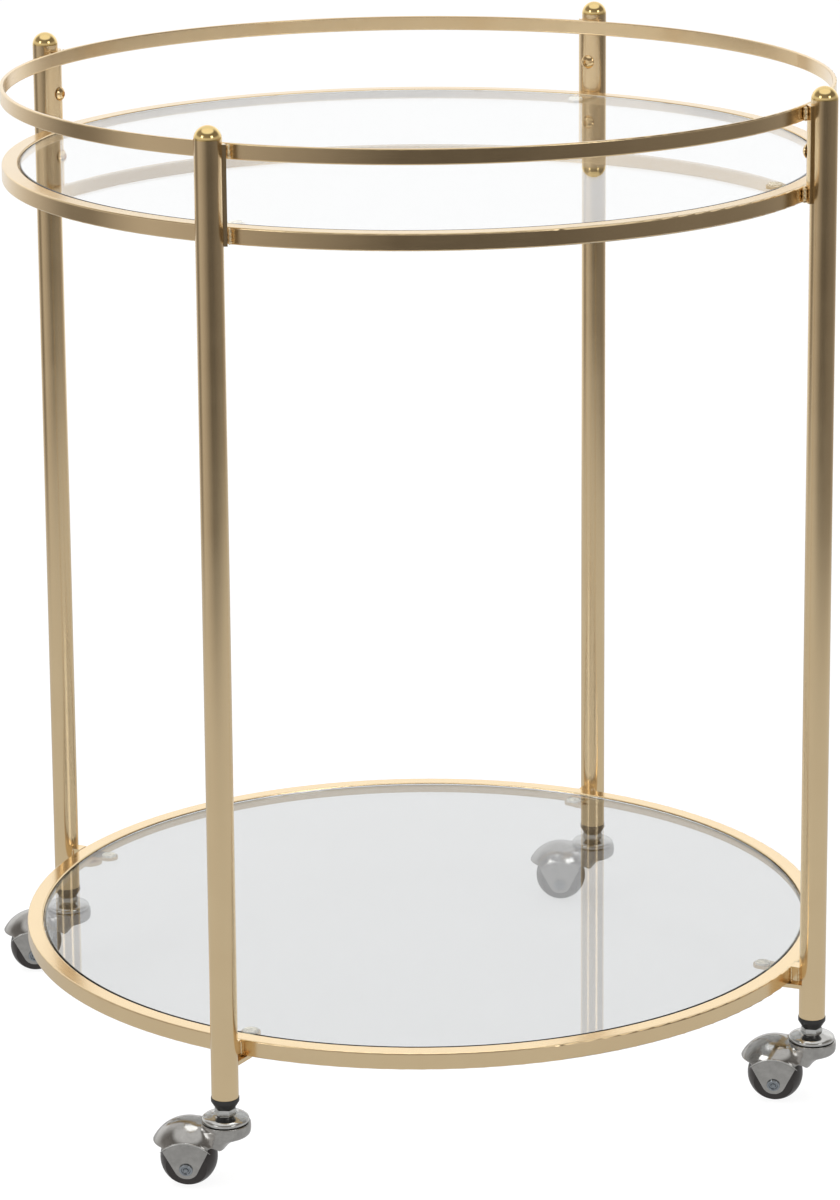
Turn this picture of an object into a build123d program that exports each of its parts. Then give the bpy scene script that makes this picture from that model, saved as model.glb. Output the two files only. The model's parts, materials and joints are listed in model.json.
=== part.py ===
from build123d import *
import math
import os

# Round two-shelf bar cart. Millimetres, +Z up, origin on the floor under the centre of the rings.

# Posts: four round tubes at the corners of a square, each on a ball caster.
POST_R = 9.5
POST_WALL = 1.2
POST_CIRCLE_R = 313.0
POST_BOTTOM = 64.5
POST_TOP = 736.8
CAP_SPIGOT_H = 12.0
BORE_GAP = 0.1
FIRST_POST_ANGLE = 45.0
CORNERS = {"front_left": (-1, -1), "front_right": (1, -1), "back_left": (-1, 1), "back_right": (1, 1)}
# The way each free caster has come to rest, in degrees from +X.
TRAIL_HEADING = {"front_left": 155.5, "front_right": 151.5, "back_left": 161.0, "back_right": 156.0}

# Rings: the flat rail, the tray ring and the slightly smaller shelf ring.
RING_R = 301.0
SHELF_RING_R = 298.0
RING_WIDTH = 12.0
RING_WALL = 1.0
RING_EDGE_R = 1.2
TRAY_RING_Z = 664.5
SHELF_RING_Z = 90.0
RAIL_Z = 722.0
RAIL_H = 11.0
RAIL_THICK = 3.0
RAIL_EDGE_R = 1.0

# Glass discs, lying in the rings on clear bumpers that sit on welded tabs.
GLASS_THICK = 5.0
GLASS_GAP = 1.0
GLASS_BELOW_RIM = 0.3
GLASS_EDGE_R = 0.8
PAD_R = 5.5
PAD_THICK = 1.5
PAD_EDGE_R = 0.5
PAD_REACH = 11.5
TAB_WIDTH = 14.0
TAB_THICK = 2.0

# Saddles: curved strips that wrap a post and carry the rail and the tray ring.
SADDLE_THICK = POST_CIRCLE_R - POST_R - RING_R
SADDLE_FACE = POST_R + SADDLE_THICK
SADDLE_HALF_ANGLE = 60.0

# Brackets: a lug between a post and the shelf ring, on a round-ended tongue.
TONGUE_THICK = 3.0
TONGUE_ROOT_WIDTH = 15.6
TONGUE_END_R = 9.6
LUG_WIDTH = 10.0
SHELF_SCREW_REACH = POST_CIRCLE_R - SHELF_RING_R + RING_WIDTH / 2

# M6 button-head screws.
SCREW_R = 2.95
SCREW_HOLE_R = 3.15
SCREW_HEAD_R = 5.25
SCREW_HEAD_H = 3.3
SCREW_RIM_H = 0.7
SCREW_SOCKET_R = 2.31
SCREW_SOCKET_DEPTH = 2.0
HEX_SIDES = 6
BOLT_Z = 700.0
BOLT_LENGTH = 13.0
NUT_R = 4.4
NUT_BULGE_R = 5.4
NUT_LENGTH = 9.0
NUT_FRONT = -3.8
NUT_BULGE_FRONT = -5.8
NUT_BULGE_BACK = -7.8
SHELF_SCREW_LENGTH = 11.0

# Casters, heights above the floor.
BALL_R = 20.0
TRAIL = 26.0
AXLE_TILT = 15.0
HOOD_R = 28.0
HOOD_WALL = 1.5
HOOD_RIM = 12.5
FACE_CUT = 16.6
FAN_FACE = 16.0
FAN_THICK = 1.4
GROOVE_FACE = 15.6
GROOVE_FLOOR_R = 23.0
FAN_TIP_R = 8.5
FAN_CORNER = (15.8, 14.2)
FAN_TOP = 20.8
HEAD_R = 17.5
HEAD_TOP = 46.4
HEAD_BOTTOM = 36.6
HEAD_FOOT_R = 11.5
HEAD_SIDE_LOW = 41.4
HEAD_ROUND_POINT = (15.7, 38.2)
DISC_R = 16.5
DISC_BOTTOM = 47.0
DISC_EDGE_TOP = 48.0
DISC_SHOULDER = (13.2, 50.1)
DISC_CROWN_R = 8.6
HEX_BOTTOM = 51.4
HEX_TOP = 56.4
HEX_FLATS = 13.0
STEM_R = 4.0
STEM_TOP = 96.0
STEM_RIVET_R = 4.5
STEM_RIVET_H = 1.3
RIVET_GAP = 0.4
RACE_R = 11.5
RACE_Z = 46.7
RACE_BALL_R = 1.5
RACE_BALLS = 14
RUN_GAP = 0.05
PLUG_BOTTOM = 56.7
PLUG_NECK_R = 6.8
PLUG_FLANGE_R = 9.9
PLUG_FLANGE_LOW = 61.8
PLUG_TOP = 92.0
AXLE_R = 2.5
AXLE_HEAD_R = 4.4
AXLE_HEAD_H = 0.9
AXLE_BEAD_R = 3.1
AXLE_END = -9.0
BUSH_R = 4.0
BUSH_END = -6.0
WHEEL_FACE = 13.9
WHEEL_BORE_END = -10.0

TUBE_INNER_R = POST_R - POST_WALL
SPIGOT_R = TUBE_INNER_R - BORE_GAP
QUARTER_TURN = 90
HALF_TURN = 180

os.makedirs("parts", exist_ok=True)


def save(part, label):
    """Name one finished piece and write it."""
    part.label = label
    export_step(part, f"parts/{label}.step")


def corner_point(corner):
    side_x, side_y = CORNERS[corner]
    reach = POST_CIRCLE_R / math.sqrt(2)
    return Vector(side_x * reach, side_y * reach, 0)


def inward_plane(corner):
    """Level plane on a post's centre line, with its x axis towards the middle of the cart."""
    centre = corner_point(corner)
    return Plane(origin=centre, x_dir=-centre, z_dir=(0, 0, 1))


def caster_plane(corner):
    """Level plane on a post's centre line, with its x axis along the caster's trail."""
    heading = math.radians(TRAIL_HEADING[corner])
    return Plane(origin=corner_point(corner), x_dir=(math.cos(heading), math.sin(heading), 0), z_dir=(0, 0, 1))


def axle_plane(corner):
    """Plane through the wheel's centre, square to its axle, which dips towards the flat of the hood."""
    level = caster_plane(corner)
    tilt = math.radians(AXLE_TILT)
    centre = level.from_local_coords((TRAIL, 0, BALL_R))
    along = level.y_dir * math.cos(tilt) - level.z_dir * math.sin(tilt)
    return Plane(origin=centre, x_dir=-level.x_dir, z_dir=along)


def upright(plane):
    """The plane through another plane's x axis and its normal, for outlines that are turned."""
    return Plane(origin=plane.origin, x_dir=plane.x_dir, z_dir=-plane.y_dir)


def turning_axis(plane):
    return Axis(plane.origin, plane.z_dir)


def outline(points):
    """Closed shape with straight edges, as a sketch to add to a part."""
    with BuildSketch(Plane.XY) as shape:
        with BuildLine():
            Polyline(*points, close=True)
        make_face()
    return shape.sketch


# Posts

def build_post(corner):
    level = inward_plane(corner)
    with BuildPart() as post:
        with BuildSketch(level.offset(POST_BOTTOM)):
            Circle(POST_R)
            Circle(TUBE_INNER_R, mode=Mode.SUBTRACT)
        extrude(amount=POST_TOP - POST_BOTTOM)
        with BuildSketch(bolt_plane(corner)):
            Circle(NUT_R + BORE_GAP)
        extrude(amount=-SADDLE_FACE, mode=Mode.SUBTRACT)
    save(post.part, f"post_{corner}")


def build_cap(corner):
    """Domed cap with a spigot that plugs into the tube's top."""
    level = inward_plane(corner)
    with BuildPart() as cap:
        with BuildSketch(upright(level)):
            with BuildLine():
                CenterArc((0, POST_TOP), POST_R, 0, QUARTER_TURN)
                Polyline(
                    (0, POST_TOP + POST_R),
                    (0, POST_TOP - CAP_SPIGOT_H),
                    (SPIGOT_R, POST_TOP - CAP_SPIGOT_H),
                    (SPIGOT_R, POST_TOP),
                    (POST_R, POST_TOP),
                )
            make_face()
        revolve(axis=turning_axis(level))
    save(cap.part, f"post_cap_{corner}")


def build_saddle(corner):
    """Upright strip, curved round the post, that the rail and the tray ring are welded to."""
    strip = strip_outline()
    with BuildPart() as saddle:
        with BuildSketch(inward_plane(corner).offset(TRAY_RING_Z)):
            add(strip)
        extrude(amount=RAIL_Z + RAIL_H - TRAY_RING_Z)
        with BuildSketch(bolt_plane(corner)):
            Circle(SCREW_HOLE_R)
        extrude(amount=-SADDLE_FACE, mode=Mode.SUBTRACT)
    save(saddle.part, f"saddle_{corner}")


def strip_outline():
    """Cross-section of a saddle: a thick arc that faces the middle of the cart."""
    with BuildSketch(Plane.XY) as strip:
        with BuildLine():
            outer = CenterArc((0, 0), SADDLE_FACE, -SADDLE_HALF_ANGLE, 2 * SADDLE_HALF_ANGLE)
            inner = CenterArc((0, 0), POST_R + RUN_GAP, -SADDLE_HALF_ANGLE, 2 * SADDLE_HALF_ANGLE)
            Line(outer @ 0, inner @ 0)
            Line(outer @ 1, inner @ 1)
        make_face()
    return strip.sketch


# Rings

def build_tube_ring(label, outer_r, bottom, screw_holes):
    """Square tube rolled to a circle and welded shut."""
    middle_r = outer_r - RING_WIDTH / 2
    hollow = RING_WIDTH - 2 * RING_WALL
    with BuildPart() as ring:
        with BuildSketch(Plane.XZ):
            with Locations((middle_r, bottom + RING_WIDTH / 2)):
                RectangleRounded(RING_WIDTH, RING_WIDTH, RING_EDGE_R)
                Rectangle(hollow, hollow, mode=Mode.SUBTRACT)
        revolve(axis=Axis.Z)
        if screw_holes:
            with BuildSketch(Plane.XY.offset(bottom)):
                with PolarLocations(middle_r, len(CORNERS), start_angle=FIRST_POST_ANGLE):
                    Circle(SCREW_HOLE_R)
            extrude(amount=RING_WALL, mode=Mode.SUBTRACT)
    save(ring.part, label)


def build_rail():
    """Flat strip, on edge, rolled to a circle."""
    with BuildPart() as rail:
        with BuildSketch(Plane.XZ):
            with Locations((RING_R - RAIL_THICK / 2, RAIL_Z + RAIL_H / 2)):
                RectangleRounded(RAIL_THICK, RAIL_H, RAIL_EDGE_R)
        revolve(axis=Axis.Z)
    save(rail.part, "gallery_rail")


def build_glass(label, radius, top):
    with BuildPart() as glass:
        with BuildSketch(Plane.XY.offset(top - GLASS_THICK)):
            Circle(radius)
        extrude(amount=GLASS_THICK)
        fillet(glass.edges().filter_by(GeomType.CIRCLE), GLASS_EDGE_R)
    save(glass.part, label)


def build_tabs(label, inner_r, top):
    """Round-ended tabs inside a ring, one beside each post."""
    with BuildPart() as tabs:
        with BuildSketch(Plane.XY.offset(top - TAB_THICK)):
            with PolarLocations(inner_r - PAD_REACH, len(CORNERS), start_angle=FIRST_POST_ANGLE):
                Circle(TAB_WIDTH / 2)
                Rectangle(PAD_REACH + RING_WALL, TAB_WIDTH, align=(Align.MIN, Align.CENTER))
            Circle(inner_r, mode=Mode.INTERSECT)
        extrude(amount=TAB_THICK)
    save(tabs.part, label)


def build_pads(label, inner_r, bottom):
    """Clear round bumpers stuck to the tabs."""
    with BuildPart() as pads:
        with BuildSketch(Plane.XY.offset(bottom)):
            with PolarLocations(inner_r - PAD_REACH, len(CORNERS), start_angle=FIRST_POST_ANGLE):
                Circle(PAD_R)
        extrude(amount=PAD_THICK)
        fillet(pads.edges().filter_by(GeomType.CIRCLE).group_by(Axis.Z)[-1], PAD_EDGE_R)
    save(pads.part, label)


def build_shelf(name, ring_r, ring_bottom, screw_holes):
    """One ring with its glass, tabs and bumpers."""
    inner_r = ring_r - RING_WIDTH
    glass_top = ring_bottom + RING_WIDTH - GLASS_BELOW_RIM
    pad_bottom = glass_top - GLASS_THICK - PAD_THICK
    build_tube_ring(f"{name}_ring", ring_r, ring_bottom, screw_holes)
    build_glass(f"{name}_glass", inner_r - GLASS_GAP, glass_top)
    build_tabs(f"{name}_glass_tabs", inner_r, pad_bottom)
    build_pads(f"{name}_glass_pads", inner_r, pad_bottom)


def build_bracket(corner):
    """Lug that fills the gap between a post and the shelf ring, and a tongue screwed up under the ring."""
    level = inward_plane(corner)
    ring_face = POST_CIRCLE_R - SHELF_RING_R
    taper = outline([
        (0, -TONGUE_ROOT_WIDTH / 2),
        (SHELF_SCREW_REACH, -TONGUE_END_R),
        (SHELF_SCREW_REACH, TONGUE_END_R),
        (0, TONGUE_ROOT_WIDTH / 2),
    ])
    with BuildPart() as bracket:
        with BuildSketch(level.offset(SHELF_RING_Z)):
            Rectangle(ring_face - RUN_GAP, LUG_WIDTH, align=(Align.MIN, Align.CENTER))
            Circle(POST_R + RUN_GAP, mode=Mode.SUBTRACT)
        extrude(amount=RING_WIDTH)
        with BuildSketch(level.offset(SHELF_RING_Z)):
            add(taper)
            with Locations((SHELF_SCREW_REACH, 0)):
                Circle(TONGUE_END_R)
                Circle(SCREW_HOLE_R, mode=Mode.SUBTRACT)
            Circle(POST_R + RUN_GAP, mode=Mode.SUBTRACT)
        extrude(amount=-TONGUE_THICK)
    save(bracket.part, f"shelf_bracket_{corner}")


# Fasteners

def bolt_plane(corner):
    """Plane against a saddle's face, with its normal towards the middle of the cart."""
    level = inward_plane(corner)
    seat = level.from_local_coords((SADDLE_FACE, 0, BOLT_Z))
    return Plane(origin=seat, x_dir=(0, 0, 1), z_dir=level.x_dir)


def shelf_screw_plane(corner):
    """Plane under a bracket's tongue, with its normal down."""
    level = inward_plane(corner)
    seat = level.from_local_coords((SHELF_SCREW_REACH, 0, SHELF_RING_Z - TONGUE_THICK))
    return Plane(origin=seat, x_dir=level.x_dir, z_dir=(0, 0, -1))


def build_screws(label, seats, length):
    """Button-head screws with a hexagon socket, their heads standing on the given planes."""
    dome_r = (SCREW_HEAD_R ** 2 + (SCREW_HEAD_H - SCREW_RIM_H) ** 2) / (2 * (SCREW_HEAD_H - SCREW_RIM_H))
    dome_centre = SCREW_HEAD_H - dome_r
    dome_start = math.degrees(math.acos(SCREW_HEAD_R / dome_r))
    with BuildPart() as screws:
        for seat in seats:
            with BuildSketch(upright(seat)):
                with BuildLine():
                    Polyline(
                        (0, SCREW_HEAD_H),
                        (0, -length),
                        (SCREW_R, -length),
                        (SCREW_R, 0),
                        (SCREW_HEAD_R, 0),
                        (SCREW_HEAD_R, SCREW_RIM_H),
                    )
                    CenterArc((0, dome_centre), dome_r, dome_start, QUARTER_TURN - dome_start)
                make_face()
            revolve(axis=turning_axis(seat))
            with BuildSketch(seat.offset(SCREW_HEAD_H)):
                RegularPolygon(SCREW_SOCKET_R, HEX_SIDES)
            extrude(amount=-SCREW_SOCKET_DEPTH, mode=Mode.SUBTRACT)
    save(screws.part, label)


def build_rivet_nuts():
    """Threaded sleeves set in the posts, each swelling out behind the tube's wall."""
    half = outline([
        (SCREW_HOLE_R, NUT_FRONT),
        (NUT_R, NUT_FRONT),
        (NUT_R, NUT_BULGE_FRONT),
        (NUT_BULGE_R, NUT_BULGE_FRONT),
        (NUT_BULGE_R, NUT_BULGE_BACK),
        (NUT_R, NUT_BULGE_BACK),
        (NUT_R, NUT_FRONT - NUT_LENGTH),
        (SCREW_HOLE_R, NUT_FRONT - NUT_LENGTH),
    ])
    with BuildPart() as nuts:
        for corner in CORNERS:
            seat = bolt_plane(corner)
            with BuildSketch(upright(seat)):
                add(half)
            revolve(axis=turning_axis(seat))
    save(nuts.part, "rivet_nuts")


# Casters

def build_plug(corner):
    """Plastic plug that holds the caster's stem in the tube."""
    bore = STEM_R + RUN_GAP
    level = caster_plane(corner)
    half = outline([
        (bore, PLUG_BOTTOM),
        (PLUG_NECK_R, PLUG_BOTTOM),
        (PLUG_FLANGE_R, PLUG_FLANGE_LOW),
        (PLUG_FLANGE_R, POST_BOTTOM - RUN_GAP),
        (SPIGOT_R, POST_BOTTOM - RUN_GAP),
        (SPIGOT_R, PLUG_TOP),
        (bore, PLUG_TOP),
    ])
    with BuildPart() as plug:
        with BuildSketch(upright(level)):
            add(half)
        revolve(axis=turning_axis(level))
    save(plug.part, f"caster_plug_{corner}")


def build_stem(corner):
    """Pin with a hexagon to hold it by, riveted over under the hood's head."""
    level = caster_plane(corner)
    rivet_top = HEAD_BOTTOM - BORE_GAP
    half = outline([
        (0, rivet_top - STEM_RIVET_H),
        (STEM_RIVET_R, rivet_top - STEM_RIVET_H),
        (STEM_RIVET_R, rivet_top),
        (STEM_R, rivet_top),
        (STEM_R, STEM_TOP),
        (0, STEM_TOP),
    ])
    with BuildPart() as stem:
        with BuildSketch(upright(level)):
            add(half)
        revolve(axis=turning_axis(level))
        with BuildSketch(level.offset(HEX_BOTTOM)):
            RegularPolygon(HEX_FLATS / 2, HEX_SIDES, major_radius=False)
        extrude(amount=HEX_TOP - HEX_BOTTOM)
    save(stem.part, f"caster_stem_{corner}")


def build_disc(corner):
    """Top disc of the swivel bearing, with the upper half of the ball race under it."""
    level = caster_plane(corner)
    half = outline([
        (STEM_R + RUN_GAP, DISC_BOTTOM),
        (DISC_R, DISC_BOTTOM),
        (DISC_R, DISC_EDGE_TOP),
        DISC_SHOULDER,
        (DISC_CROWN_R, HEX_BOTTOM),
        (STEM_R + RUN_GAP, HEX_BOTTOM),
    ])
    with BuildPart() as disc:
        with BuildSketch(upright(level)):
            add(half)
        revolve(axis=turning_axis(level))
        with BuildSketch(upright(level)):
            with Locations((RACE_R, RACE_Z)):
                Circle(RACE_BALL_R + BORE_GAP)
        revolve(axis=turning_axis(level), mode=Mode.SUBTRACT)
    save(disc.part, f"caster_disc_{corner}")


def build_bearing(corner):
    with BuildPart() as balls:
        with Locations(caster_plane(corner).offset(RACE_Z)):
            with PolarLocations(RACE_R, RACE_BALLS):
                Sphere(RACE_BALL_R)
    save(balls.part, f"caster_balls_{corner}")


def build_hood(corner):
    """Pressed hood: a thin dome over the wheel, a round head for the stem, and a fan-shaped flat."""
    level = caster_plane(corner)
    axle = axle_plane(corner)
    over_wheel = Plane(origin=axle.origin, x_dir=level.x_dir, z_dir=level.z_dir)
    inner_r = HOOD_R - HOOD_WALL
    rim_angle = math.degrees(math.asin(HOOD_RIM / HOOD_R))
    inner_angle = math.degrees(math.asin(HOOD_RIM / inner_r))
    fan = fan_outline()
    with BuildPart() as hood:
        with BuildSketch(upright(over_wheel)):
            with BuildLine():
                outer = CenterArc((0, 0), HOOD_R, rim_angle, QUARTER_TURN - rim_angle)
                inner = CenterArc((0, 0), inner_r, inner_angle, QUARTER_TURN - inner_angle)
                Line(outer @ 0, inner @ 0)
                Line(outer @ 1, inner @ 1)
            make_face()
        revolve(axis=turning_axis(over_wheel))
        with BuildSketch(upright(level)):
            with BuildLine():
                Polyline(
                    (HEAD_R, HEAD_SIDE_LOW),
                    (HEAD_R, HEAD_TOP),
                    (0, HEAD_TOP),
                    (0, HEAD_BOTTOM),
                    (HEAD_FOOT_R, HEAD_BOTTOM),
                )
                ThreePointArc((HEAD_FOOT_R, HEAD_BOTTOM), HEAD_ROUND_POINT, (HEAD_R, HEAD_SIDE_LOW))
            make_face()
        revolve(axis=turning_axis(level))
        with BuildSketch(axle.offset(FACE_CUT)):
            Circle(HOOD_R + HEAD_R)
        extrude(amount=HOOD_R, mode=Mode.SUBTRACT)
        with Locations(over_wheel):
            Sphere(inner_r, mode=Mode.SUBTRACT)
        with BuildSketch(upright(level)):
            with Locations((RACE_R, RACE_Z)):
                Circle(RACE_BALL_R + BORE_GAP)
        revolve(axis=turning_axis(level), mode=Mode.SUBTRACT)
        with BuildSketch(level.offset(HEAD_BOTTOM)):
            Circle(STEM_R + RUN_GAP)
        extrude(amount=HEAD_TOP - HEAD_BOTTOM, mode=Mode.SUBTRACT)
        with BuildSketch(level.offset(HEAD_BOTTOM)):
            Circle(STEM_RIVET_R + RIVET_GAP)
        extrude(amount=-STEM_RIVET_R, mode=Mode.SUBTRACT)
        with BuildSketch(axle.offset(GROOVE_FACE)):
            Circle(GROOVE_FLOOR_R)
            with Locations((0, FAN_CORNER[1])):
                Rectangle(2 * FAN_CORNER[0], GROOVE_FLOOR_R, align=(Align.CENTER, Align.MIN), mode=Mode.INTERSECT)
        extrude(amount=-FAN_THICK)
        with BuildSketch(axle.offset(FAN_FACE)):
            add(fan)
            Circle(AXLE_R + RUN_GAP, mode=Mode.SUBTRACT)
        extrude(amount=-FAN_THICK)
    save(hood.part, f"caster_hood_{corner}")


def fan_outline():
    """Fan-shaped flat: a shallow arc on top and straight sides that run onto the round tip."""
    corner_x, corner_y = FAN_CORNER
    reach = math.hypot(corner_x, corner_y)
    side_angle = math.degrees(math.atan2(corner_y, corner_x) - math.acos(FAN_TIP_R / reach))
    with BuildSketch(Plane.XY) as fan:
        with BuildLine():
            tip = CenterArc((0, 0), FAN_TIP_R, HALF_TURN - side_angle, HALF_TURN + 2 * side_angle)
            Line(tip @ 0, (-corner_x, corner_y))
            ThreePointArc((-corner_x, corner_y), (0, FAN_TOP), (corner_x, corner_y))
            Line((corner_x, corner_y), tip @ 1)
        make_face()
    return fan.sketch


def build_axle(corner):
    """Axle headed over the flat of the hood, with a bead that snaps behind the wheel's bush."""
    level = axle_plane(corner)
    half = outline([
        (0, FAN_FACE + AXLE_HEAD_H),
        (AXLE_HEAD_R, FAN_FACE + AXLE_HEAD_H),
        (AXLE_HEAD_R, FAN_FACE),
        (AXLE_R, FAN_FACE),
        (AXLE_R, BUSH_END - BORE_GAP),
        (AXLE_BEAD_R, BUSH_END - BORE_GAP),
        (AXLE_BEAD_R, AXLE_END + AXLE_BEAD_R / 2),
        (AXLE_R / 2, AXLE_END),
        (0, AXLE_END),
    ])
    with BuildPart() as axle:
        with BuildSketch(upright(level)):
            add(half)
        revolve(axis=turning_axis(level))
    save(axle.part, f"wheel_axle_{corner}")


def build_bush(corner):
    level = axle_plane(corner)
    half = outline([
        (AXLE_R + RUN_GAP, WHEEL_FACE),
        (BUSH_R, WHEEL_FACE),
        (BUSH_R, BUSH_END),
        (AXLE_R + RUN_GAP, BUSH_END),
    ])
    with BuildPart() as bush:
        with BuildSketch(upright(level)):
            add(half)
        revolve(axis=turning_axis(level))
    save(bush.part, f"wheel_bush_{corner}")


def build_wheel(corner):
    """Ball-shaped wheel, cut flat towards the hood's flat, with a blind bore for its bush."""
    level = axle_plane(corner)
    face_r = math.sqrt(BALL_R ** 2 - WHEEL_FACE ** 2)
    bore = BUSH_R + RUN_GAP
    with BuildPart() as wheel:
        with BuildSketch(upright(level)):
            with BuildLine():
                Polyline(
                    (0, -BALL_R),
                    (0, WHEEL_BORE_END),
                    (bore, WHEEL_BORE_END),
                    (bore, WHEEL_FACE),
                    (face_r, WHEEL_FACE),
                )
                ThreePointArc((face_r, WHEEL_FACE), (BALL_R, 0), (0, -BALL_R))
            make_face()
        revolve(axis=turning_axis(level))
    save(wheel.part, f"wheel_{corner}")


build_rail()
build_shelf("tray", RING_R, TRAY_RING_Z, screw_holes=False)
build_shelf("shelf", SHELF_RING_R, SHELF_RING_Z, screw_holes=True)
build_screws("rail_bolts", [bolt_plane(corner) for corner in CORNERS], BOLT_LENGTH)
build_screws("shelf_screws", [shelf_screw_plane(corner) for corner in CORNERS], SHELF_SCREW_LENGTH)
build_rivet_nuts()
for corner_name in CORNERS:
    for build in (
        build_post, build_cap, build_saddle, build_bracket, build_plug, build_stem, build_disc,
        build_bearing, build_hood, build_axle, build_bush, build_wheel,
    ):
        build(corner_name)
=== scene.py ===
import json
import math

import bmesh
import bpy
import numpy as np
from mathutils import Matrix, Vector


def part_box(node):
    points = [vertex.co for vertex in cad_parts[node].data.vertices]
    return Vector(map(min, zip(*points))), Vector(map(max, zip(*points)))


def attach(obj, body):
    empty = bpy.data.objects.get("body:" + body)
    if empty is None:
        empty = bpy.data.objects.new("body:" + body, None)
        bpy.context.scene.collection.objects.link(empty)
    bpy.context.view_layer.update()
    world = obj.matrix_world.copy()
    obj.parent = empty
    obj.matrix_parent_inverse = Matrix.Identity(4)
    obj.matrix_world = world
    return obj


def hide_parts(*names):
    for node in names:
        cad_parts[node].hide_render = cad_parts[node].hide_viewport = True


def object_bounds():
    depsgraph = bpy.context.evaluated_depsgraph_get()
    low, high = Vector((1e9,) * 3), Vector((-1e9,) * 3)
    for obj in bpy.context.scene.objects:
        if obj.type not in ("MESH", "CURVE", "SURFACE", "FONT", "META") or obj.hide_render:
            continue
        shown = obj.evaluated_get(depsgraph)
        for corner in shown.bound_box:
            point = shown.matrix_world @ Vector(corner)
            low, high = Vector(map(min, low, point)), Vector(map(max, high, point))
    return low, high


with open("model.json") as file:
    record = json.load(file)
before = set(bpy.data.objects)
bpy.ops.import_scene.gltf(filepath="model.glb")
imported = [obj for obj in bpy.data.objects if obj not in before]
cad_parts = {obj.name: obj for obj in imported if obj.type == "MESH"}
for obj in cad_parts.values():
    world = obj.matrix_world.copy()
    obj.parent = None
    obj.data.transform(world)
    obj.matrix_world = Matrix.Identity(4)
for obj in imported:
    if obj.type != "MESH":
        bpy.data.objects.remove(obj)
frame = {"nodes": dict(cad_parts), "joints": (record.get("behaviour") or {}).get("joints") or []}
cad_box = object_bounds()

CORNERS = ("front_left", "front_right", "back_left", "back_right")
MM = 0.001

# Camera: metres and degrees, and the lens in millimetres.
CAMERA_AZIMUTH = -18.7
CAMERA_DISTANCE = 3.065
CAMERA_HEIGHT = 1.2228
CAMERA_PITCH = 12.866
CAMERA_ROLL = -0.415
CAMERA_LENS = 128.73
CAMERA_SHIFT = -0.2

# Weld beads.
BEAD_R = 2.1 * MM
BEAD_SIDES = 12
BEAD_LUMP = 3.2 * MM
BEAD_STEPS = 22
BEAD_THIN = 0.70
BEAD_TIP = 0.12
BEAD_SWAY = 0.12
RING_BEAD_GAP = 0.4 * MM
LUG_BEAD_FOOT = 0.3 * MM
LUG_RING_BEAD_GAP = 1.0 * MM
LUG_POST_BEAD_GAP = 0.6 * MM
SADDLE_REACH = 10.2 * MM
SADDLE_SIDE = 9.6 * MM
LUG_SIDE = 5.2 * MM
LUG_RING_REACH = 11.2 * MM
LUG_POST_REACH = 8.6 * MM
LUG_POST_SIDE = 5.1 * MM
LUG_RING_BEAD_R = 0.55 * BEAD_R
LUG_POST_BEAD_R = 0.5 * BEAD_R

# Caster hood, measured from the wheel's axle and the post's centre line.
WHEEL_R = 20.0 * MM
TRAIL = 26.0 * MM
AXLE_TILT = 15.0
HOOD_R = 28.0 * MM
HEAD_R = 17.5 * MM
FAN_FACE = 16.0 * MM
HOOD_WALL = 1.5 * MM
HEAD_ROUND = 5.0 * MM
PRESS_ROUND = 9.0 * MM
STEM_ROOM_R = 5.2 * MM
SKIRT_START = (0.0, 0.0, 46.0 * MM)
SKIRT_END = (8.2 * MM, 15.0 * MM, 31.5 * MM)
SKIRT_START_R = 14.3 * MM
SKIRT_END_R = 3.2 * MM
SKIRT_ROUND = 6.0 * MM
LIP_R = 0.65 * MM
LIP_ARC_R = 22.3 * MM
LIP_FORWARD = 16.1 * MM
LIP_START = 38.0
ARCH_LOW_R = 21.0 * MM
ARCH_HIGH_R = 22.5 * MM
ARCH_DEPTH = 0.6 * MM
ARCH_FADE = 3 * MM
FAN_SKIN = 1.2 * MM
ARCH_CORNER_H = 13.8 * MM
HEAD_FADE = 3.5 * MM
SKIN_VOXEL = 0.35 * MM
SKIN_ROUNDS = 5
SKIN_THIN = 0.4
PRESS_STEPS = 6
PROBE = 0.05 * MM
LEAST_STEEP = 0.2
LIP_STEPS = 48
DISC_SEGMENTS = 96
RIVET_SEGMENTS = 64
# Half sections, as (radius, height) in mm.
DISC_PROFILE = (
    (4.05, 48.6), (13.2, 48.6), (13.6, 47.0), (16.2, 47.0), (16.5, 47.25), (16.6, 47.9), (16.55, 48.7),
    (16.1, 49.6), (15.2, 50.3), (13.8, 50.8), (12.0, 51.3), (10.2, 51.7), (8.9, 52.2), (8.2, 52.6),
    (4.05, 52.6),
)
RIVET_PROFILE = (
    (0.0, 1.90), (0.8, 1.82), (1.35, 1.55), (1.65, 1.10), (1.75, 0.10), (3.0, 0.10), (3.1, 1.10),
    (3.5, 1.48), (4.0, 1.55), (4.45, 1.36), (4.75, 0.95), (4.80, 0.40), (4.75, 0.05), (2.5, 0.05),
    (2.5, -22.1), (3.1, -22.2), (3.1, -23.4), (1.3, -25.0), (0.0, -25.0),
)

# Materials.
NOISE_SPAN = (0.3, 0.7)
GRAIN_FINE = 2600.0
GRAIN_ALONG = 40.0
GRAIN_ROUND = 12.0
# Glass rim: a band of painted dark green shade, for the light lost looking into the edge.
GLASS_RIM_START = 1.4 * MM
GLASS_RIM_FULL = 0.5 * MM
GLASS_RIM_PAINTED_SHADE = (0.14, 0.15, 0.10)

# Studio.
FLOOR_SIZE = 60.0
FLOOR_GLOW = 0.92
NEAR_FLOOR = 0.60
WARM = (1.0, 0.90, 0.82)
# Brightness by compass angle in degrees, 0 towards the camera.
FAR_FLOOR = (
    (-180, 1.00), (-150, 0.90), (-128, 0.60), (-106, 0.20), (-95, 0.22), (-78, 0.52), (-50, 0.42),
    (-25, 0.26), (-5, 0.12), (20, 0.11), (60, 0.18), (100, 0.22), (135, 0.42), (155, 0.90), (180, 1.00),
)
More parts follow.
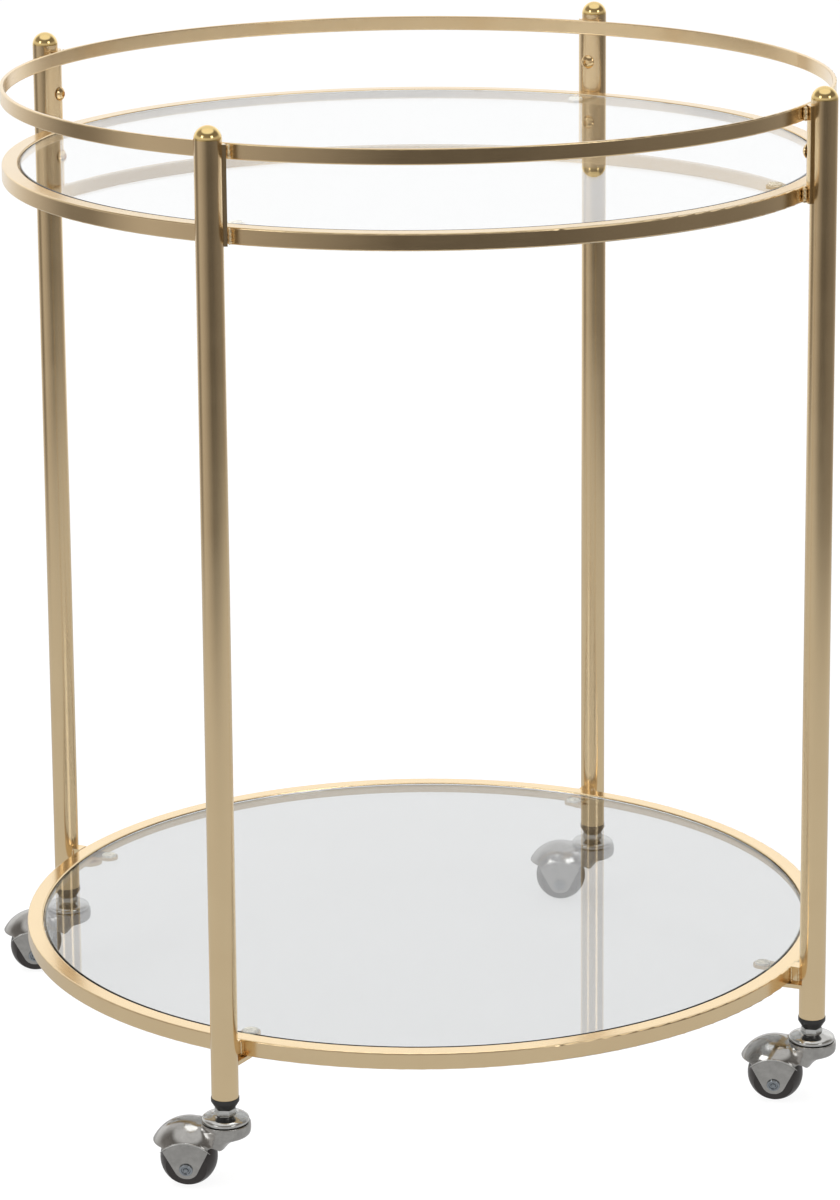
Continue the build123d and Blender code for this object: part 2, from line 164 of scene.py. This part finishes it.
# Brightness by degrees above the horizon.
LEFT_ROOM = ((0, 0.50), (8, 0.70), (15, 0.65), (22, 0.30), (48, 0.25), (58, 0.95), (90, 0.95))
RIGHT_ROOM = ((0, 0.30), (8, 0.50), (15, 0.45), (22, 0.20), (48, 0.18), (58, 0.95), (90, 0.95))
BACKDROP = ((0, 1.05), (5, 1.05), (15, 1.05), (18, 1.20), (24, 1.20), (28, 0.90), (60, 0.85), (90, 1.00))
LAMP_LEFT = -47
LAMP_RIGHT = 41
LAMP_TONE = 2.2
# A lamp in the room rises from nothing at the first angle to its full share at the second.
LAMP_WIDE = (11, 8)
LAMP_FOOT = (15, 18)
LAMP_TOP = (35, 31)
# Compass angles between which the room gives way to the backdrop.
BACKDROP_EDGE = (105, 150)
# Distances from the middle of the cart between which the near floor gives way to the far one.
PAPER_EDGE = (1.35, 2.05)
GLOW_DEPTH = 2 * MM
# Name, compass angle from the front, angle above the horizon, distance, size and power.
SOFT_BOXES = (
    ("key_left", -75, 48, 2.6, (1.2, 0.8), 22),
    ("key_right", 35, 55, 2.6, (0.9, 0.9), 16),
    ("top", 160, 78, 2.4, (1.6, 1.2), 12),
)


# Node helpers

def node(tree, kind, **settings):
    made = tree.nodes.new(kind)
    for name, value in settings.items():
        setattr(made, name, value)
    return made


def plug(tree, value, socket):
    """Link an output, or write a plain value, into a socket."""
    if isinstance(value, bpy.types.NodeSocket):
        tree.links.new(value, socket)
    else:
        socket.default_value = value


def calc(tree, operation, *values, clamp=False):
    made = node(tree, "ShaderNodeMath", operation=operation, use_clamp=clamp)
    for socket, value in zip(made.inputs, values):
        plug(tree, value, socket)
    return made.outputs[0]


def spread(tree, value, low, high, to_low, to_high, smooth=False):
    """Map a value's range onto another range."""
    made = node(tree, "ShaderNodeMapRange", interpolation_type="SMOOTHSTEP" if smooth else "LINEAR")
    for socket, number in zip(made.inputs, (value, low, high, to_low, to_high)):
        plug(tree, number, socket)
    return made.outputs[0]


def eased(tree, value, start, full):
    """Share that rises gently from 0 at the start to 1 where it is full."""
    return spread(tree, value, start, full, 0.0, 1.0, smooth=True)


def ramp(tree, value, stops):
    made = node(tree, "ShaderNodeValToRGB")
    elements = made.color_ramp.elements
    while len(elements) < len(stops):
        elements.new(0.5)
    for element, (place, colour) in zip(elements, stops):
        element.position = place
        element.color = (*colour, 1.0)
    plug(tree, value, made.inputs[0])
    return made.outputs["Color"]


def mixed(tree, share, first, second):
    made = node(tree, "ShaderNodeMix", data_type="RGBA")
    plug(tree, share, made.inputs["Factor"])
    for value, socket in ((first, made.inputs[6]), (second, made.inputs[7])):
        plug(tree, value if isinstance(value, bpy.types.NodeSocket) else (*value, 1.0), socket)
    return made.outputs[2]


def noise(tree, vector, scale, detail=2.0, roughness=0.5):
    made = node(tree, "ShaderNodeTexNoise")
    plug(tree, vector, made.inputs["Vector"])
    made.inputs["Scale"].default_value = scale
    made.inputs["Detail"].default_value = detail
    made.inputs["Roughness"].default_value = roughness
    return made.outputs["Fac"]


def combined(tree, x, y, z):
    made = node(tree, "ShaderNodeCombineXYZ")
    for value, socket in zip((x, y, z), made.inputs):
        plug(tree, value, socket)
    return made.outputs[0]


def radius_of(tree, x, y):
    """Distance from the upright axis."""
    squares = calc(tree, "ADD", calc(tree, "MULTIPLY", x, x), calc(tree, "MULTIPLY", y, y))
    return calc(tree, "SQRT", squares)


def turned(tree, x, y, x_share, y_share):
    """Sum of x and y, each times its share."""
    return calc(tree, "ADD", calc(tree, "MULTIPLY", x, x_share), calc(tree, "MULTIPLY", y, y_share))


def object_axes(tree):
    """Object coordinates, as a vector and as its three parts."""
    vector = node(tree, "ShaderNodeTexCoord").outputs["Object"]
    parts = node(tree, "ShaderNodeSeparateXYZ")
    plug(tree, vector, parts.inputs[0])
    return vector, parts.outputs[0], parts.outputs[1], parts.outputs[2]


def bumped(tree, shader, height, distance, strength=1.0):
    made = node(tree, "ShaderNodeBump")
    made.inputs["Distance"].default_value = distance
    made.inputs["Strength"].default_value = strength
    plug(tree, height, made.inputs["Height"])
    plug(tree, made.outputs["Normal"], shader.inputs["Normal"])


def new_material(name, **uniform):
    """Principled material, with values that are the same all over set on its own sockets."""
    material = bpy.data.materials.new(name)
    material.use_nodes = True
    shader = material.node_tree.nodes["Principled BSDF"]
    for socket, value in uniform.items():
        shader.inputs[socket.replace("_", " ")].default_value = value
    return material, material.node_tree, shader


# Materials

def brushed_gold(name, grain):
    """Satin champagne gold. The grain runs along a post, or round a ring."""
    material, tree, shader = new_material(name, Metallic=1.0)
    vector, x, y, z = object_axes(tree)
    if grain == "upright":
        parts = ((x, GRAIN_FINE), (y, GRAIN_FINE), (z, GRAIN_ALONG))
    else:
        radius = radius_of(tree, x, y)
        turn = calc(tree, "ARCTAN2", y, x)
        parts = ((radius, GRAIN_FINE), (z, GRAIN_FINE), (turn, GRAIN_ROUND))
    streaks = combined(tree, *(calc(tree, "MULTIPLY", part, scale) for part, scale in parts))
    fine = noise(tree, streaks, 1.0, 3.0, 0.6)
    cloud = noise(tree, vector, 22.0, 3.0, 0.55)
    patch = spread(tree, cloud, *NOISE_SPAN, 0.0, 1.0)
    base = mixed(tree, patch, (0.83, 0.640, 0.385), (0.87, 0.680, 0.415))
    plug(tree, mixed(tree, spread(tree, fine, 0.35, 0.75, 0.0, 0.10), base, (0.92, 0.76, 0.52)),
         shader.inputs["Base Color"])
    streaky = spread(tree, fine, *NOISE_SPAN, 0.18, 0.22)
    patchy = spread(tree, cloud, *NOISE_SPAN, -0.02, 0.02)
    rough = calc(tree, "ADD", streaky, patchy)
    plug(tree, rough, shader.inputs["Roughness"])
    bumped(tree, shader, fine, 0.00002, 0.1)
    return material


def polished_gold(name, low, high):
    material, tree, shader = new_material(name, Metallic=1.0)
    vector = object_axes(tree)[0]
    haze = noise(tree, vector, 260.0, 4.0, 0.6)
    plug(tree, mixed(tree, haze, low, high), shader.inputs["Base Color"])
    plug(tree, spread(tree, haze, *NOISE_SPAN, 0.06, 0.13), shader.inputs["Roughness"])
    bumped(tree, shader, noise(tree, vector, 900.0, 2.0), 0.00002, 0.3)
    return material


def chrome(name, low, high, tone):
    material, tree, shader = new_material(name, Metallic=1.0)
    vector = object_axes(tree)[0]
    smudge = noise(tree, vector, 130.0, 5.0, 0.6)
    fine = noise(tree, vector, 2400.0, 3.0, 0.6)
    dull = tuple(0.82 * part for part in tone)
    share = spread(tree, smudge, 0.35, 0.65, 0.0, 1.0)
    plug(tree, mixed(tree, share, dull, tone), shader.inputs["Base Color"])
    plug(tree, spread(tree, smudge, *NOISE_SPAN, low, high), shader.inputs["Roughness"])
    bumped(tree, shader, fine, 0.00003, 0.25)
    return material


def plastic(name, dark, light, rough):
    material, tree, shader = new_material(name, Specular_IOR_Level=0.5)
    vector = object_axes(tree)[0]
    mottle = noise(tree, vector, 180.0, 4.0, 0.6)
    fine = noise(tree, vector, 3200.0, 2.0, 0.5)
    plug(tree, mixed(tree, mottle, dark, light), shader.inputs["Base Color"])
    plug(tree, spread(tree, mottle, *NOISE_SPAN, rough - 0.06, rough + 0.08), shader.inputs["Roughness"])
    bumped(tree, shader, fine, 0.00004, 0.3)
    return material


def glass(name, tint_and_shade, radius):
    """Clear disc with faint wipe marks, and painted dark green shade round the rim where one looks into the
    edge.
    """
    material, tree, shader = new_material(name, Transmission_Weight=1.0, IOR=1.5)
    vector, x, y, _ = object_axes(tree)
    wipe = noise(tree, vector, 9.0, 3.0, 0.5)
    deeper = tuple(0.985 * part for part in tint_and_shade)
    out = radius_of(tree, x, y)
    # Painted shade: the colour turns dark green over the band at the rim.
    rim = eased(tree, out, radius - GLASS_RIM_START, radius - GLASS_RIM_FULL)
    face = mixed(tree, wipe, tint_and_shade, deeper)
    plug(tree, mixed(tree, rim, face, GLASS_RIM_PAINTED_SHADE), shader.inputs["Base Color"])
    plug(tree, spread(tree, wipe, 0.35, 0.7, 0.0, 0.012), shader.inputs["Roughness"])
    return material


def bumper_rubber():
    """Pale, cloudy clear rubber."""
    material, tree, shader = new_material("bumper_clear", Transmission_Weight=0.25, IOR=1.4)
    cloud = noise(tree, object_axes(tree)[0], 420.0, 3.0, 0.5)
    plug(tree, mixed(tree, cloud, (0.90, 0.87, 0.77), (0.97, 0.94, 0.86)), shader.inputs["Base Color"])
    plug(tree, spread(tree, cloud, *NOISE_SPAN, 0.22, 0.36), shader.inputs["Roughness"])
    return material


# Studio

def camera_angle(tree, x, y):
    """Compass angle of a direction: 0 towards the camera, positive to its right."""
    turn = math.radians(CAMERA_AZIMUTH)
    ahead = turned(tree, x, y, math.sin(turn), -math.cos(turn))
    right = turned(tree, x, y, math.cos(turn), math.sin(turn))
    return calc(tree, "ARCTAN2", right, ahead)


def tone_stops(tones, low, high):
    """Ramp stops from brightness by degrees. The dim ones are warmer."""
    stops = []
    for degrees, tone in tones:
        share = min(tone, 1.0)
        colour = tuple(tone * (part + (1 - part) * share) for part in WARM)
        stops.append(((degrees - low) / (high - low), colour))
    return stops


def far_floor(tree, x, y):
    """Brightness of the far floor by compass angle: pale behind the cart, dark before it on the right."""
    place = spread(tree, camera_angle(tree, x, y), -math.pi, math.pi, 0.0, 1.0)
    return ramp(tree, place, tone_stops(FAR_FLOOR, -180, 180))


def lamp(tree, angle, elevation, centre):
    """Share of a direction that falls on a soft box, both angles in radians."""
    aside = calc(tree, "ABSOLUTE", calc(tree, "SUBTRACT", angle, math.radians(centre)))
    wide = eased(tree, aside, *map(math.radians, LAMP_WIDE))
    low = eased(tree, elevation, *map(math.radians, LAMP_FOOT))
    high = eased(tree, elevation, *map(math.radians, LAMP_TOP))
    return calc(tree, "MULTIPLY", wide, calc(tree, "MULTIPLY", low, high))


def build_world():
    """White backdrop behind the cart, a dim room before it with two soft boxes, and a pale ceiling."""
    world = bpy.data.worlds.new("studio")
    bpy.context.scene.world = world
    world.use_nodes = True
    tree = world.node_tree
    parts = node(tree, "ShaderNodeSeparateXYZ")
    plug(tree, node(tree, "ShaderNodeTexCoord").outputs["Generated"], parts.inputs[0])
    x, y, z = parts.outputs
    angle = camera_angle(tree, x, y)
    elevation = calc(tree, "ARCSINE", z)
    height = spread(tree, elevation, 0.0, math.pi / 2, 0.0, 1.0)
    rightward = eased(tree, angle, -math.pi / 2, math.pi / 2)
    left = ramp(tree, height, tone_stops(LEFT_ROOM, 0, 90))
    right = ramp(tree, height, tone_stops(RIGHT_ROOM, 0, 90))
    backdrop = ramp(tree, height, tone_stops(BACKDROP, 0, 90))
    room = mixed(tree, rightward, left, right)
    turned_away = calc(tree, "ABSOLUTE", angle)
    behind = eased(tree, turned_away, *map(math.radians, BACKDROP_EDGE))
    sky = mixed(tree, behind, room, backdrop)
    left_lamp = lamp(tree, angle, elevation, LAMP_LEFT)
    right_lamp = lamp(tree, angle, elevation, LAMP_RIGHT)
    lit = calc(tree, "ADD", left_lamp, right_lamp)
    sky = mixed(tree, lit, sky, (LAMP_TONE,) * 3)
    plug(tree, sky, tree.nodes["Background"].inputs["Color"])


def plane(name, size, height):
    half = size / 2
    mesh = bpy.data.meshes.new(name)
    corners = [(-half, -half, 0), (half, -half, 0), (half, half, 0), (-half, half, 0)]
    mesh.from_pydata(corners, [], [(0, 1, 2, 3)])
    made = bpy.data.objects.new(name, mesh)
    made.location.z = height
    bpy.context.scene.collection.objects.link(made)
    return made


def build_floor():
    """Pale floor for the eye, and a glowing one under it that only reflections see."""
    floor = plane("floor", FLOOR_SIZE, 0.0)
    floor.visible_glossy = False
    material, _, shader = new_material("floor_paper", Roughness=0.9, Emission_Strength=1.0)
    shader.inputs["Base Color"].default_value = (0.15, 0.15, 0.15, 1.0)
    shader.inputs["Specular IOR Level"].default_value = 0.0
    shader.inputs["Emission Color"].default_value = (FLOOR_GLOW, FLOOR_GLOW, FLOOR_GLOW, 1.0)
    floor.data.materials.append(material)

    glow = plane("studio_glow", FLOOR_SIZE, -GLOW_DEPTH)
    glow.visible_camera = False
    glow.visible_diffuse = False
    glow.visible_transmission = False
    glow.visible_shadow = False
    material = bpy.data.materials.new("studio_glow")
    material.use_nodes = True
    tree = material.node_tree
    tree.nodes.clear()
    parts = node(tree, "ShaderNodeSeparateXYZ")
    plug(tree, node(tree, "ShaderNodeNewGeometry").outputs["Position"], parts.inputs[0])
    x, y = parts.outputs[0], parts.outputs[1]
    far = eased(tree, radius_of(tree, x, y), *PAPER_EDGE)
    light = node(tree, "ShaderNodeEmission")
    plug(tree, mixed(tree, far, (NEAR_FLOOR,) * 3, far_floor(tree, x, y)), light.inputs["Color"])
    output = node(tree, "ShaderNodeOutputMaterial")
    plug(tree, light.outputs[0], output.inputs["Surface"])
    glow.data.materials.append(material)


def soft_box(name, azimuth, elevation, distance, size, power, target):
    data = bpy.data.lights.new(name, "AREA")
    data.shape = "RECTANGLE"
    data.size, data.size_y = size
    data.energy = power
    made = bpy.data.objects.new(name, data)
    turn, lift = math.radians(azimuth), math.radians(elevation)
    away = Vector((math.sin(turn) * math.cos(lift), -math.cos(turn) * math.cos(lift), math.sin(lift)))
    made.location = target + away * distance
    made.rotation_euler = away.to_track_quat("Z", "Y").to_euler()
    made.visible_glossy = False
    bpy.context.scene.collection.objects.link(made)
    return made


def build_lights():
    lowest, highest = (Vector(corner) for corner in cad_box)
    middle = (lowest + highest) / 2
    for settings in SOFT_BOXES:
        soft_box(*settings, middle)


def build_camera():
    camera = bpy.data.cameras.new("camera")
    camera.lens = CAMERA_LENS
    camera.shift_y = CAMERA_SHIFT
    camera.clip_end = 200.0
    made = bpy.data.objects.new("camera", camera)
    turn = math.radians(CAMERA_AZIMUTH)
    place = Vector((CAMERA_DISTANCE * math.sin(turn), -CAMERA_DISTANCE * math.cos(turn), CAMERA_HEIGHT))
    aim = Matrix.Rotation(turn, 4, "Z") @ Matrix.Rotation(math.radians(90 - CAMERA_PITCH), 4, "X")
    made.matrix_world = Matrix.Translation(place) @ aim @ Matrix.Rotation(math.radians(CAMERA_ROLL), 4, "Z")
    bpy.context.scene.collection.objects.link(made)
    bpy.context.scene.camera = made


# Pieces

def new_piece(name, mesh, body, material, replaced=()):
    """Link a finished mesh as a smooth piece that rides on a body of the cart."""
    made = bpy.data.objects.new(name, mesh)
    bpy.context.scene.collection.objects.link(made)
    mesh.materials.clear()
    mesh.materials.append(material)
    for face in mesh.polygons:
        face.use_smooth = True
    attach(made, body)
    if replaced:
        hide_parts(*replaced)
    return made


def in_metres(profile):
    return [(radius * MM, height * MM) for radius, height in profile]


def lathe(profile, place, segments):
    """Closed turned mesh from the (radius, height) points of half its section."""
    shape = bmesh.new()
    rings = []
    for radius, height in profile:
        if radius == 0:
            rings.append([shape.verts.new(place @ Vector((0, 0, height)))] * segments)
            continue
        ring = []
        for step in range(segments):
            turn = 2 * math.pi * step / segments
            point = Vector((radius * math.cos(turn), radius * math.sin(turn), height))
            ring.append(shape.verts.new(place @ point))
        rings.append(ring)
    for lower, upper in zip(rings, rings[1:] + rings[:1]):
        for step in range(segments):
            after = (step + 1) % segments
            corners = list(dict.fromkeys((lower[step], lower[after], upper[after], upper[step])))
            if len(corners) > 2:
                shape.faces.new(corners)
    bmesh.ops.recalc_face_normals(shape, faces=shape.faces)
    mesh = bpy.data.meshes.new("turned")
    shape.to_mesh(mesh)
    shape.free()
    return mesh


def post_frame(corner):
    """Place on the floor under a post, with x towards the middle of the cart."""
    low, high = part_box(f"post_{corner}")
    centre = Vector(((low.x + high.x) / 2, (low.y + high.y) / 2, 0))
    return Matrix.Translation(centre) @ Matrix.Rotation(math.atan2(-centre.y, -centre.x), 4, "Z")


def axle_frame(corner):
    """Place at the wheel's centre, with z along the axle towards the flat of the hood."""
    joint = next(each for each in frame["joints"] if each["name"] == f"ball_{corner}_spin")
    axis = Vector(joint["axis"])
    centre = Vector(joint["pos_m"])
    return Matrix.Translation(centre) @ axis.to_track_quat("Z", "Y").to_matrix().to_4x4()


def caster_frame(corner):
    """Place on the floor under a post, with x along the caster's trail."""
    post = post_frame(corner).translation
    trail = axle_frame(corner).translation - post
    return Matrix.Translation(post) @ Matrix.Rotation(math.atan2(trail.y, trail.x), 4, "Z")


def add_bead(shape, place, aside, inward, bottom, top, radius, phase):
    """Upright weld bead: overlapping drops, so its width swells and shrinks along it."""
    rings = []
    for step in range(BEAD_STEPS + 1):
        share = step / BEAD_STEPS
        height = bottom + (top - bottom) * share
        ends = math.sqrt(max(1 - (2 * share - 1) ** 6, 0.0))
        drop = abs(math.sin(math.pi * (height - bottom) / BEAD_LUMP + phase))
        width = radius * (BEAD_THIN + (1 - BEAD_THIN) * drop) * max(ends, BEAD_TIP)
        sway = BEAD_SWAY * radius * math.sin(2.1 * step + phase)
        ring = []
        for side in range(BEAD_SIDES):
            turn = 2 * math.pi * side / BEAD_SIDES
            point = Vector((inward + sway + width * math.cos(turn), aside + width * math.sin(turn), height))
            ring.append(shape.verts.new(place @ point))
        rings.append(ring)
    close_tube(shape, rings)


def close_tube(shape, rings):
    """Skin a row of rings and close both ends."""
    for lower, upper in zip(rings, rings[1:]):
        for side in range(BEAD_SIDES):
            after = (side + 1) % BEAD_SIDES
            shape.faces.new((lower[side], lower[after], upper[after], upper[side]))
    shape.faces.new(rings[0])
    shape.faces.new(rings[-1])


def tube_mesh(shape):
    """Turn all faces of a finished tube outward and give its mesh."""
    bmesh.ops.recalc_face_normals(shape, faces=shape.faces)
    mesh = bpy.data.meshes.new("tubes")
    shape.to_mesh(mesh)
    shape.free()
    return mesh


def build_welds(material):
    """Beads in the grooves between each post's saddle or lug and the rings."""
    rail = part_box("gallery_rail")
    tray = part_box("tray_ring")
    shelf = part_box("shelf_ring")
    lug_reach = tray[1].x - shelf[1].x + LUG_RING_REACH
    for number, corner in enumerate(CORNERS):
        place = post_frame(corner)
        shape = bmesh.new()
        for side in (-1, 1):
            phase = 0.9 * number + 0.6 * side
            for low, high in (rail, tray):
                add_bead(shape, place, side * SADDLE_SIDE, SADDLE_REACH,
                         low.z + RING_BEAD_GAP, high.z - RING_BEAD_GAP, BEAD_R, phase)
            add_bead(shape, place, side * LUG_SIDE, lug_reach,
                     shelf[0].z + LUG_BEAD_FOOT, shelf[1].z - LUG_RING_BEAD_GAP, LUG_RING_BEAD_R, phase)
            add_bead(shape, place, side * LUG_POST_SIDE, LUG_POST_REACH,
                     shelf[0].z + LUG_BEAD_FOOT, shelf[1].z - LUG_POST_BEAD_GAP,
                     LUG_POST_BEAD_R, phase + 1.0)
        new_piece(f"weld_beads_{corner}", tube_mesh(shape), "frame", material)


def soft_least(first, second, round_off):
    """Smaller of two distances, with the corner between them rounded off."""
    blend = np.maximum(round_off - np.abs(first - second), 0.0) / round_off
    return np.minimum(first, second) - blend * blend * round_off / 4


def pressed_distance(points, head_low, head_high):
    """Distance outside the pressed form: the dome over the wheel, flowing into the round head."""
    dome = np.linalg.norm(points - (TRAIL, 0.0, WHEEL_R), axis=1) - HOOD_R
    side = np.hypot(points[:, 0], points[:, 1]) - HEAD_R
    below = head_low - points[:, 2]
    head = np.maximum(-soft_least(-side, -below, HEAD_ROUND), points[:, 2] - head_high)
    return soft_least(soft_least(dome, head, PRESS_ROUND), skirt_distance(points), SKIRT_ROUND)


def skirt_distance(points):
    """Distance outside the tapering skirt that runs from under the head to the corner of the fan."""
    start, end = np.array(SKIRT_START), np.array(SKIRT_END)
    along = end - start
    share = np.clip((points - start) @ along / (along @ along), 0.0, 1.0)
    radius = SKIRT_START_R + (SKIRT_END_R - SKIRT_START_R) * share
    return np.linalg.norm(points - start - share[:, None] * along, axis=1) - radius


def reskinned(mesh, voxel, rounds):
    """The mesh rebuilt as one even skin, then smoothed."""
    helper = bpy.data.objects.new("skin", mesh)
    bpy.context.scene.collection.objects.link(helper)
    remesh = helper.modifiers.new("skin", "REMESH")
    remesh.mode = "VOXEL"
    remesh.voxel_size = voxel
    if rounds:
        smooth = helper.modifiers.new("smooth", "SMOOTH")
        smooth.factor = 0.5
        smooth.iterations = rounds
    skin = bpy.data.meshes.new_from_object(helper.evaluated_get(bpy.context.evaluated_depsgraph_get()))
    bpy.data.objects.remove(helper)
    return skin


def pressed_hood():
    """The front left hood's skin in its caster frame, with its sharp creases pressed to soft ones."""
    corner = CORNERS[0]
    source = frame["nodes"][f"caster_hood_{corner}"].data.copy()
    source.transform(caster_frame(corner).inverted())
    skin = reskinned(source, SKIN_VOXEL, 0)

    points = np.empty(len(skin.vertices) * 3)
    skin.vertices.foreach_get("co", points)
    points = points.reshape(-1, 3)
    tilt = math.radians(AXLE_TILT)
    outward = np.array((0.0, math.cos(tilt), -math.sin(tilt)))
    forward = (points - (TRAIL, 0.0, WHEEL_R)) @ outward
    across = np.hypot(points[:, 0], points[:, 1])
    head_low = points[points[:, 0] < -HEAD_R / 4][:, 2].min()
    head_high = points[:, 2].max()
    dome_gap = np.linalg.norm(points - (TRAIL, 0.0, WHEEL_R), axis=1) - HOOD_R
    head_gap = np.maximum(across - HEAD_R, head_low - points[:, 2])
    on_dome = (np.abs(dome_gap) < 3 * SKIN_VOXEL) & (head_gap > -3 * SKIN_VOXEL)
    on_head = (head_gap > -6 * SKIN_VOXEL) & (head_gap < 3 * SKIN_VOXEL) & (dome_gap > -2 * SKIN_VOXEL)
    moving = (on_dome | on_head) & (forward < FAN_FACE - SKIN_VOXEL)
    moving &= (points[:, 2] < head_high - 4 * SKIN_VOXEL) & (across > STEM_ROOM_R - 2 * SKIN_VOXEL)
    sharp = points[moving]
    fade = np.clip((head_high - 4 * SKIN_VOXEL - sharp[:, 2]) / HEAD_FADE, 0.0, 1.0)
    fade *= np.clip((FAN_FACE - SKIN_VOXEL - forward[moving]) / (3 * SKIN_VOXEL), 0.0, 1.0)
    spot = sharp.copy()
    for _ in range(PRESS_STEPS):
        value = pressed_distance(spot, head_low, head_high)
        slope = np.stack([
            (pressed_distance(spot + offset, head_low, head_high) - value) / PROBE
            for offset in np.eye(3) * PROBE
        ], axis=1)
        steep = np.maximum((slope * slope).sum(1), LEAST_STEEP)
        spot = spot - slope * (value / steep)[:, None]
        from_ball = spot - (TRAIL, 0.0, WHEEL_R)
        reach = np.linalg.norm(from_ball, axis=1)
        spot += from_ball * (np.maximum(HOOD_R - HOOD_WALL, reach) / reach - 1)[:, None]
        across = np.hypot(spot[:, 0], spot[:, 1])
        low = spot[:, 2] < head_low
        spot[low, :2] *= (np.maximum(STEM_ROOM_R, across) / across)[low, None]
    points[moving] = sharp + (spot - sharp) * fade[:, None]
    deepen_arch(points, outward, forward)
    skin.vertices.foreach_set("co", points.reshape(-1))
    skin.update()
    return reskinned(skin, SKIN_VOXEL, SKIN_ROUNDS)


def deepen_arch(points, outward, forward):
    """Press the groove over the fan-shaped flat further in, so the dome's edge stands over it as a rim."""
    flat = points - (TRAIL, 0.0, WHEEL_R) - forward[:, None] * outward
    around = np.linalg.norm(flat, axis=1)
    middle = (ARCH_LOW_R + ARCH_HIGH_R) / 2
    inside = 1 - np.abs(around - middle) / (ARCH_HIGH_R - middle)
    share = np.clip(2 * inside, 0.0, 1.0) * np.clip((flat[:, 2] - ARCH_CORNER_H) / ARCH_FADE, 0.0, 1.0)
    share *= forward > FAN_FACE - FAN_SKIN
    points -= (share * ARCH_DEPTH)[:, None] * outward


def build_hoods(material):
    skin = pressed_hood()
    for corner in CORNERS:
        mesh = skin.copy()
        mesh.transform(caster_frame(corner))
        hood = new_piece(f"hood_pressed_{corner}", mesh, f"swivel_{corner}", material,
                         (f"caster_hood_{corner}",))
        thin = hood.modifiers.new("thin", "DECIMATE")
        thin.ratio = SKIN_THIN


def build_lips(material):
    """Raised lip of the hood's edge, arching over the fan-shaped flat."""
    for corner in CORNERS:
        place = axle_frame(corner)
        sideways = Vector((0, 0, 1)).cross(place.col[2].xyz).normalized()
        upward = place.col[2].xyz.cross(sideways)
        shape = bmesh.new()
        rings = []
        for step in range(LIP_STEPS + 1):
            turn = math.radians(LIP_START + (180 - 2 * LIP_START) * step / LIP_STEPS)
            out = sideways * math.cos(turn) + upward * math.sin(turn)
            taper = math.sqrt(max(math.sin(math.pi * step / LIP_STEPS), 0.02))
            centre = place.translation + out * LIP_ARC_R + place.col[2].xyz * LIP_FORWARD
            ring = []
            for side in range(BEAD_SIDES):
                around = 2 * math.pi * side / BEAD_SIDES
                offset = out * math.cos(around) + place.col[2].xyz * math.sin(around)
                ring.append(shape.verts.new(centre + offset * LIP_R * taper))
            rings.append(ring)
        close_tube(shape, rings)
        new_piece(f"hood_lip_{corner}", tube_mesh(shape), f"swivel_{corner}", material)


def build_discs(material):
    """Domed top disc of each swivel, with a rolled edge and the ball race's hollow under it."""
    profile = in_metres(DISC_PROFILE)
    for corner in CORNERS:
        mesh = lathe(profile, post_frame(corner), DISC_SEGMENTS)
        new_piece(f"disc_rolled_{corner}", mesh, "frame", material,
                  (f"caster_disc_{corner}",))


def build_rivets(material):
    """Axles, their heads rolled into a ring round a recess, with the pin's round end in it."""
    profile = in_metres(RIVET_PROFILE)
    for corner in CORNERS:
        place = axle_frame(corner) @ Matrix.Translation((0, 0, FAN_FACE))
        mesh = lathe(profile, place, RIVET_SEGMENTS)
        new_piece(f"axle_riveted_{corner}", mesh, f"swivel_{corner}", material,
                  (f"wheel_axle_{corner}",))


# Looks

def paint(name, material):
    mesh = frame["nodes"][name].data
    mesh.materials.clear()
    mesh.materials.append(material)


def paint_frame():
    upright = brushed_gold("gold_upright", "upright")
    round_grain = brushed_gold("gold_round", "round")
    polished = polished_gold("gold_polished", (0.93, 0.69, 0.29), (0.97, 0.74, 0.35))
    bolt_gold = polished_gold("gold_bolt", (0.80, 0.58, 0.30), (0.86, 0.64, 0.36))
    bright = chrome("chrome_bright", 0.08, 0.20, (0.66, 0.66, 0.64))
    # The hood's chrome is a darker copy of the bright chrome: painted shade for the dim room it reflects.
    pressed = chrome("chrome_hood_shaded", 0.10, 0.22, (0.46, 0.45, 0.43))
    pin = chrome("pin_steel", 0.10, 0.22, (0.36, 0.39, 0.42))
    zinc = chrome("zinc_plate", 0.22, 0.36, (0.66, 0.69, 0.72))
    black = plastic("plug_black", (0.012, 0.012, 0.012), (0.026, 0.025, 0.024), 0.42)
    wheel = plastic("wheel_black", (0.014, 0.011, 0.010), (0.026, 0.020, 0.018), 0.32)
    nylon = plastic("bush_nylon", (0.72, 0.71, 0.66), (0.80, 0.79, 0.75), 0.45)
    bumper = bumper_rubber()
    for name in ("gallery_rail", "tray_ring", "shelf_ring"):
        paint(name, round_grain)
    for name in ("tray_glass_tabs", "shelf_glass_tabs"):
        paint(name, upright)
    for name in ("rail_bolts", "shelf_screws"):
        paint(name, bolt_gold)
    paint("rivet_nuts", zinc)
    # The shelf's glass is the same glass as the tray's, given a darker tint: painted shade.
    for name, tint_and_shade in (("tray", (0.905, 0.915, 0.92)), ("shelf", (0.62, 0.63, 0.635))):
        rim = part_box(f"{name}_glass")[1][0]
        paint(f"{name}_glass", glass(f"glass_{name}", tint_and_shade, rim))
    for name in ("tray_glass_pads", "shelf_glass_pads"):
        paint(name, bumper)
    for corner in CORNERS:
        for part in ("post", "saddle", "shelf_bracket"):
            paint(f"{part}_{corner}", upright)
        paint(f"post_cap_{corner}", polished)
        for part in ("caster_stem", "caster_disc", "caster_balls", "caster_hood"):
            paint(f"{part}_{corner}", bright)
        paint(f"caster_plug_{corner}", black)
        paint(f"wheel_axle_{corner}", zinc)
        paint(f"wheel_bush_{corner}", nylon)
        paint(f"wheel_{corner}", wheel)
    for name in ("tray_glass", "shelf_glass", "tray_glass_pads", "shelf_glass_pads"):
        frame["nodes"][name].visible_shadow = False
    build_welds(upright)
    build_hoods(pressed)
    build_lips(bright)
    build_discs(bright)
    build_rivets(pin)


build_world()
build_floor()
build_lights()
build_camera()
paint_frame()

scene = bpy.context.scene
scene.view_settings.view_transform = "Standard"
